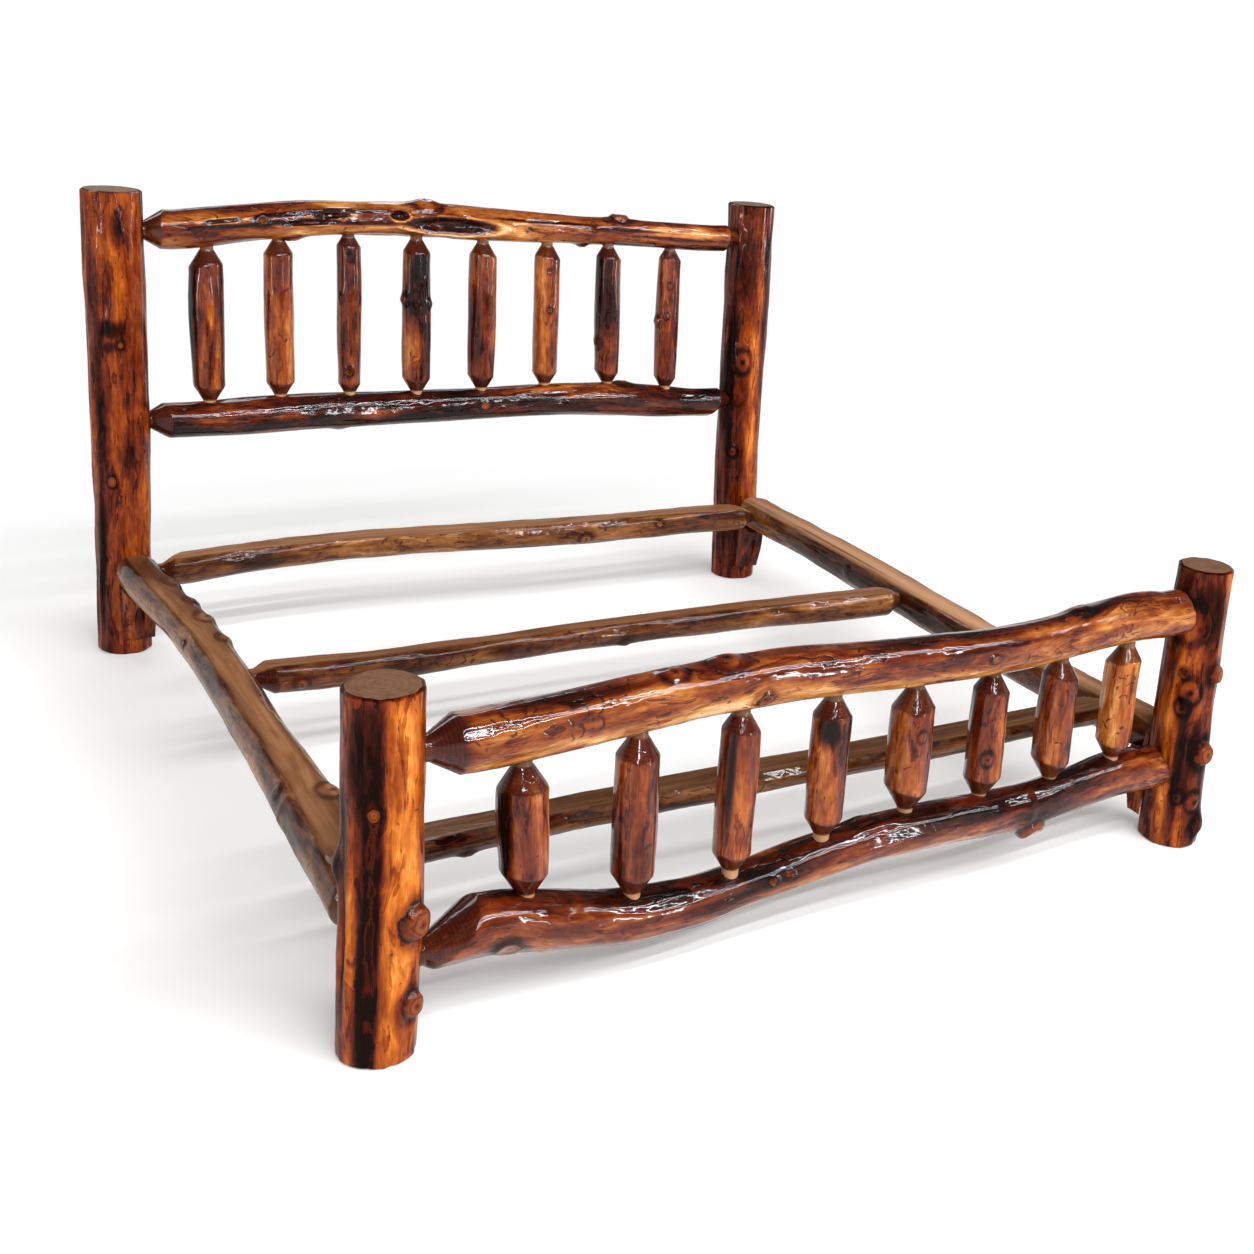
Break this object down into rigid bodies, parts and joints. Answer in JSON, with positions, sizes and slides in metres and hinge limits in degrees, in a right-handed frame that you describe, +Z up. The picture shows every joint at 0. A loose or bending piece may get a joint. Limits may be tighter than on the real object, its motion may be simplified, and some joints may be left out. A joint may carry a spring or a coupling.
{
  "type": "log bed",
  "caption": "Bed frame of varnished peeled logs: round posts, spindle headboard and footboard, flat-topped side rails and cross rails for a mattress.",
  "frame": {"origin": "on the floor, midway between the four posts", "axes": "+Z up, +Y towards the headboard, +X to the right of someone who stands at the foot and looks at the headboard"},
  "size_m": [2.2267, 2.3766, 1.318],
  "materials": {
    "post_log": "high-gloss clear varnish on peeled log",
    "rail_log": "high-gloss clear varnish on peeled log",
    "spindle_log": "high-gloss clear varnish on peeled log",
    "bed_rail_log": "varnished log with a satin sawn flat",
    "corbel_log": "high-gloss clear varnish",
    "dowel": "bare beech",
    "fastener": "zinc-plated"
  },
  "bodies": {
    "root": {"post_head_left": "post_log", "post_head_right": "post_log", "post_foot_left": "post_log", "post_foot_right": "post_log", "headboard_top_rail": "rail_log", "headboard_lower_rail": "rail_log", "footboard_top_rail": "rail_log", "footboard_lower_rail": "rail_log", "headboard_spindle_1": "spindle_log", "headboard_spindle_2": "spindle_log", "headboard_spindle_3": "spindle_log", "headboard_spindle_4": "spindle_log", "headboard_spindle_5": "spindle_log", "headboard_spindle_6": "spindle_log", "headboard_spindle_7": "spindle_log", "headboard_spindle_8": "spindle_log", "footboard_spindle_1": "spindle_log", "footboard_spindle_2": "spindle_log", "footboard_spindle_3": "spindle_log", "footboard_spindle_4": "spindle_log", "footboard_spindle_5": "spindle_log", "footboard_spindle_6": "spindle_log", "footboard_spindle_7": "spindle_log", "footboard_spindle_8": "spindle_log", "side_rail_left": "bed_rail_log", "side_rail_right": "bed_rail_log", "cross_rail_head": "bed_rail_log", "cross_rail_middle": "bed_rail_log", "cross_rail_foot": "bed_rail_log", "corbel_head_left": "corbel_log", "corbel_head_right": "corbel_log", "corbel_foot_left": "corbel_log", "corbel_foot_right": "corbel_log", "corbel_dowels": "dowel", "rail_lag_screws": "fastener", "rail_washers": "fastener"}
  },
  "joints": []
}
